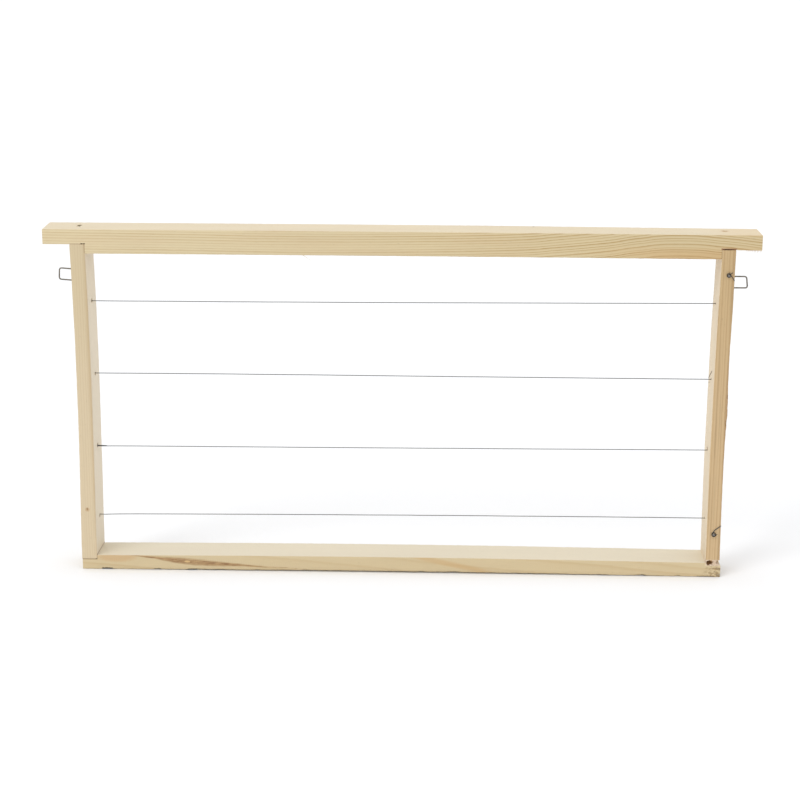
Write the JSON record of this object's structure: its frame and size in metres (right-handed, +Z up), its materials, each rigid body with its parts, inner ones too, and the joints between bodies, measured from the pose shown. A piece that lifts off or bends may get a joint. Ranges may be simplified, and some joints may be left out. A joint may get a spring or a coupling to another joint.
{
  "type": "wired beehive frame",
  "caption": "Wooden beehive frame for a Langstroth hive: a top bar with hanging lugs, side bars and a bottom bar around a window strung with steel wire that holds the comb.",
  "frame": {"origin": "middle of the underside of the bottom bar, which the frame stands on", "axes": "+X along the top bar, +Y from the tack side to the far side, +Z up to the top bar"},
  "size_m": [0.4826, 0.029, 0.243],
  "materials": {
    "pine": "planed pale pine",
    "brown_pine": "planed brown heartwood pine",
    "frame_wire": "thin drawn steel wire",
    "tack_steel": "dull blued steel",
    "staple_steel": "satin galvanised wire",
    "nail_steel": "dull steel"
  },
  "bodies": {
    "root": {"top_bar": "pine", "bottom_bar": "pine", "left_side_bar": "pine", "right_side_bar": "brown_pine", "frame_wire": "frame_wire", "upper_wire_tack": "tack_steel", "lower_wire_tack": "tack_steel", "left_spacer_staple": "staple_steel", "right_spacer_staple": "staple_steel", "left_top_nail": "nail_steel", "right_top_nail": "nail_steel", "left_bottom_nail_front": "nail_steel", "left_bottom_nail_rear": "nail_steel", "right_bottom_nail_front": "nail_steel", "right_bottom_nail_rear": "nail_steel"}
  },
  "joints": []
}
